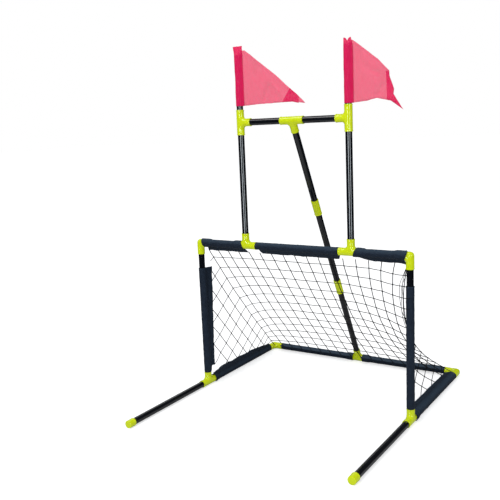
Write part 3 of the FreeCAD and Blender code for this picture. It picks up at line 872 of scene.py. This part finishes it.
def until_held(side, start, direction):
    """Where a cord of a side meets the flap of its post's sleeve or of its ground tube's sleeve."""
    post, ground = by_name[side + "_post_sleeve"], by_name[side + "_side_sleeve"]
    upright = math.cos(math.radians(side_flap_lean))
    place = Vector(start)
    for step in range(longest_side_cord):
        behind, above = place.y - post_plane, place.z - ground_z
        held = (behind - upright * (post.hem_reach(place.z - post.start.z) - side_hold),
                above - upright * (ground.hem_reach(place.y - ground.start.y) - side_hold))
        if min(held) < 0:
            break
        place += direction * MM
    inward = math.tan(math.radians(side_flap_lean)) * min(behind, above)
    place.x = math.copysign(abs(post.start.x) - inward, start.x)
    return place


for side, corner in (("left", grid[0]), ("right", grid[-1])):
    work = CordWork()
    run = Vector((0, *side_row_run[side])).normalized()
    first_mesh, mesh = side_meshes[side]
    lines = []
    for row in range(1, net_rows):
        start = corner[row]
        stop = until_held(side, start, run)
        knots, reach = [start], first_mesh
        while reach < (stop - start).length - 6 * MM:
            place = start + run * reach
            place.x = side_plane[side] + 4.0 * MM * uneven(95, row * 1.9, reach * 30)
            wander = Vector((0, uneven(96, row, reach * 20), uneven(97, row, reach * 20)))
            knots.append(place + wander * 2.5 * MM)
            reach += mesh
        work.cord([*knots, stop], row_radius)
        lines.append(knots)
    for number in range(1, max(len(knots) for knots in lines)):
        held = [knots[number] for knots in lines if len(knots) > number]
        if len(held) < 2:
            continue
        upper = until_held(side, held[0], (held[0] - held[1]).normalized())
        lower = until_held(side, held[-1], (held[-1] - held[-2]).normalized())
        work.cord([upper, *held, lower], column_radius)
        for knot in held:
            work.knot(knot, (held[-1] - held[0]).normalized(), X)
    net_pieces.append(work.finish(side + "_side_net"))
for sleeve in sleeves:
    sleeve.declare(net_pieces if sleeve.name == "crossbar_middle_sleeve" else ())


# The flags: triangles of thin pink nylon, flying to the right. The hoist edge is turned over into a
# pocket that slides down over the pole; above the pole its empty end is pressed flat. Hems are sewn.
flag_pink = (0.82, 0.006, 0.100, 1.0)
flag_pale = (0.92, 0.024, 0.145, 1.0)
flag_thread_dark = (0.42, 0.006, 0.03, 1.0)
flag_thread_pink = (0.75, 0.05, 0.13, 1.0)
flag_alpha = 0.61
flag_threads_per_metre, flag_thread_height = 1400.0, 0.0002
flag_thickness = 0.5 * MM
flag_grid = 7.0 * MM
fold_behind = 1.6 * MM
pocket_radius, pocket_seam = 15.6 * MM, 24.0 * MM
pocket_ring_step, pocket_sides = 5.0 * MM, 28
crown_half_depth = 1.3 * MM
flag_wave_height, flag_wave_length = 5.0 * MM, 64.0 * MM
crease_height, crease_width = 4.0 * MM, 7.0 * MM
hem_width = 6.0 * MM
tee_to_left_flag, tee_to_right_flag = 16.0 * MM, 3.0 * MM
left_flag_outline = [
    (15, 0), (15, 233), (33, 232), (121, 169), (252, 62), (297, 20), (322, -3), (259, 6), (113, 4),
]
right_flag_outline = [
    (15, 0), (15, 241), (23, 240), (128, 160), (170, 114), (171, 93), (189, 44), (187, 25), (228, -35),
    (176, 0), (122, 13), (84, 5),
]
left_flag_fold = [(252, 62), (289, 27), (287, -1), (259, 6), (214, 5)]
right_flag_fold = [
    (157, 112), (170, 114), (171, 93), (189, 44), (187, 25), (228, -35), (176, 0), (160, 6),
]
left_creases = [((103, -6), (152, 78), 1), ((161, 91), (201, 48), -1), ((78, 183), (72, 123), 1)]
right_creases = [((120, 25), (148, 61), 1), ((60, 205), (75, 150), -1), ((100, 120), (132, 104), 1)]

flag_cloth = woven_material(
    "pink_flag_cloth", flag_pink, flag_pale, flag_threads_per_metre, flag_thread_height, (0.38, 0.6),
    {"Alpha": flag_alpha, "Specular IOR Level": 0.12},
)[0]
flag_thread = thread_material("flag_thread", flag_thread_dark, flag_thread_pink, 0.55)


def to_segment(point, one, two):
    """How far a point of the plane lies from a stretch of line."""
    run = two - one
    share = min(max((point - one).dot(run) / run.length_squared, 0.0), 1.0)
    return (point - one - run * share).length


def inside(point, outline):
    """Whether a point lies in a closed outline."""
    crossings = 0
    for number, one in enumerate(outline):
        two = outline[(number + 1) % len(outline)]
        if (one.y > point.y) != (two.y > point.y):
            crossings += point.x < one.x + (point.y - one.y) * (two.x - one.x) / (two.y - one.y)
    return crossings % 2 == 1


class Flag:
    """The cloth of one flag: its pocket round the pole, and its fly."""

    def __init__(self, name, pole, hoist, outline, creases, crown, fold=(), seed=0):
        self.axis = Vector((middle(pole).x, post_plane, 0))
        self.pole_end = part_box(pole)[1].z
        self.hoist, self.seed = hoist, seed
        self.crown_height, self.crown_width, self.crown_notch = crown
        self.outline = [Vector(corner) * MM for corner in outline]
        self.creases = [(Vector(one) * MM, Vector(two) * MM, way) for one, two, way in creases]
        self.places, self.faces, self.uvs = [], [], []
        self.sewn, self.sewn_faces = [], []
        self.pocket()
        self.fly(self.outline)
        if fold:
            self.fly([Vector(corner) * MM for corner in fold], fold_behind)
        self.hem()
        self.finish(name)

    def wave(self, point):
        """How far the fly stands out of its plane at a point."""
        start = point.x - pocket_radius
        phase = math.pi * start / flag_wave_length + 1.6 * uneven(self.seed, point.y * 5)
        height = flag_wave_height * math.sin(phase) * ease(start, 0.0, 20 * MM)
        ripple = 2.2 * MM * uneven(self.seed + 1, point.x * 14, point.y * 14)
        height += ripple * ease(start, 0.0, 30 * MM)
        for one, two, way in self.creases:
            far = to_segment(point, one, two) / crease_width
            height += way * crease_height * math.exp(-far * far)
        return height

    def on_fly(self, point, behind=0.0):
        """The place of a point of the fly, or of a layer behind it."""
        return self.axis + Vector((point.x, self.wave(point) + behind, self.hoist + point.y))

    def fly(self, outline, behind=0.0):
        """A layer of the fly inside an outline, as far behind the main one as stated."""
        edge = []
        for number, one in enumerate(outline):
            two = outline[(number + 1) % len(outline)]
            steps = max(1, round((two - one).length / flag_grid))
            normal = Vector((one.y - two.y, two.x - one.x)).normalized()
            for step in range(steps):
                point = one.lerp(two, step / steps)
                edge.append(point + normal * (0.7 * MM * uneven(self.seed + 2, point.x * 60, point.y * 60)))
        points = list(edge)
        low_x, high_x = min(p.x for p in edge), max(p.x for p in edge)
        low_y, high_y = min(p.y for p in edge), max(p.y for p in edge)
        y, shifted = low_y + flag_grid / 2, False
        while y < high_y:
            x = low_x + (flag_grid / 2 if shifted else flag_grid)
            while x < high_x:
                point = Vector((x, y))
                near = min((point - other).length for other in edge)
                if near > flag_grid * 0.55 and inside(point, edge):
                    points.append(point)
                x += flag_grid
            y += flag_grid * 0.87
            shifted = not shifted
        loop = [(number, (number + 1) % len(edge)) for number in range(len(edge))]
        made = geometry.delaunay_2d_cdt(points, loop, [], 1, 1e-6)
        first = len(self.places)
        for point in made[0]:
            self.places.append(self.on_fly(point, behind))
            self.uvs.append((point.x, point.y))
        for face in made[2]:
            self.faces.append(tuple(first + corner for corner in face))

    def pocket(self):
        """The turned-over hoist edge, round the pole and pressed flat above it."""
        top = self.pole_end + self.crown_height
        rings = round((top - self.hoist) / pocket_ring_step)
        first = len(self.places)
        for ring in range(rings + 1):
            z = self.hoist + (top - self.hoist) * ring / rings
            flat = ease(z, self.pole_end - 6 * MM, top)
            for corner in range(pocket_sides):
                angle = 2 * math.pi * corner / pocket_sides
                loose = 1 + 0.07 * uneven(self.seed + 4, angle * 1.2, z * 28)
                long = pocket_radius * loose * (1 - flat) + self.crown_width / 2 * flat
                deep = pocket_radius * loose * (1 - flat) + crown_half_depth * flat
                x, y = long * math.cos(angle), deep * math.sin(angle)
                if x > 0:
                    x += (pocket_seam - pocket_radius) * (1 - flat) * (x / long) ** 6
                    y *= 1 - 0.75 * (1 - flat) * (x / pocket_seam) ** 6
                dip = self.crown_notch * flat * max(1 - abs(x) / (self.crown_width / 4), 0.0)
                rag = 1.5 * MM * flat * uneven(self.seed + 5, x * 90)
                self.places.append(self.axis + Vector((x, y, z - dip + rag)))
                self.uvs.append((pocket_radius * angle, z))
        self.faces += ring_faces(first, rings, pocket_sides)

    def hem(self):
        """Rows of stitches beside the pocket's seam and just inside the fly's edges."""
        centre = sum(self.outline, Vector((0, 0))) / len(self.outline)
        beside_pocket = pocket_seam + 2 * MM
        rows = [(Vector((beside_pocket, 4 * MM)), Vector((beside_pocket, self.outline[1].y - 6 * MM)))]
        for number in range(2, len(self.outline)):
            ends = (self.outline[number], self.outline[(number + 1) % len(self.outline)])
            normal = Vector((ends[0].y - ends[1].y, ends[1].x - ends[0].x)).normalized()
            if normal.dot(centre - ends[0]) < 0:
                normal = -normal
            rows.append(tuple(end + normal * hem_width for end in ends))
        for one, two in rows:
            count = int((two - one).length / stitch_spacing)
            for number in range(1, count):
                point = one.lerp(two, number / count)
                if not inside(point, self.outline):
                    continue
                along = Vector((two.x - one.x, 0, two.y - one.y)).normalized()
                across = along.cross(Y).normalized() * stitch_thickness
                through = Y * 2 * stitch_thickness
                add_stitch(self.sewn, self.sewn_faces, self.on_fly(point), along, across, through)

    def finish(self, name):
        """The flag's pieces: the thickened nylon and its stitching, attached to the pennant body in place of
        the CAD node.
        """
        piece = new_piece(name + "_nylon", self.places, self.faces, [flag_cloth], self.uvs)
        thicken(piece, flag_thickness, 0.0)
        stitching = new_piece(name + "_stitching", self.sewn, self.sewn_faces, [flag_thread])
        body = name.replace("_flag", "_pennant")
        for part in (piece, stitching):
            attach(part, body)
        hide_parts(name)


tee_top = {side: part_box(side + "_upper_tee")[1].z for side in ("left", "right")}
Flag("left_flag", "left_flag_pole", tee_top["left"] + tee_to_left_flag, left_flag_outline,
     left_creases, (37 * MM, 46 * MM, 0.0), fold=left_flag_fold, seed=101)
Flag("right_flag", "right_flag_pole", tee_top["right"] + tee_to_right_flag, right_flag_outline,
     right_creases, (24 * MM, 32 * MM, 12 * MM), fold=right_flag_fold, seed=111)
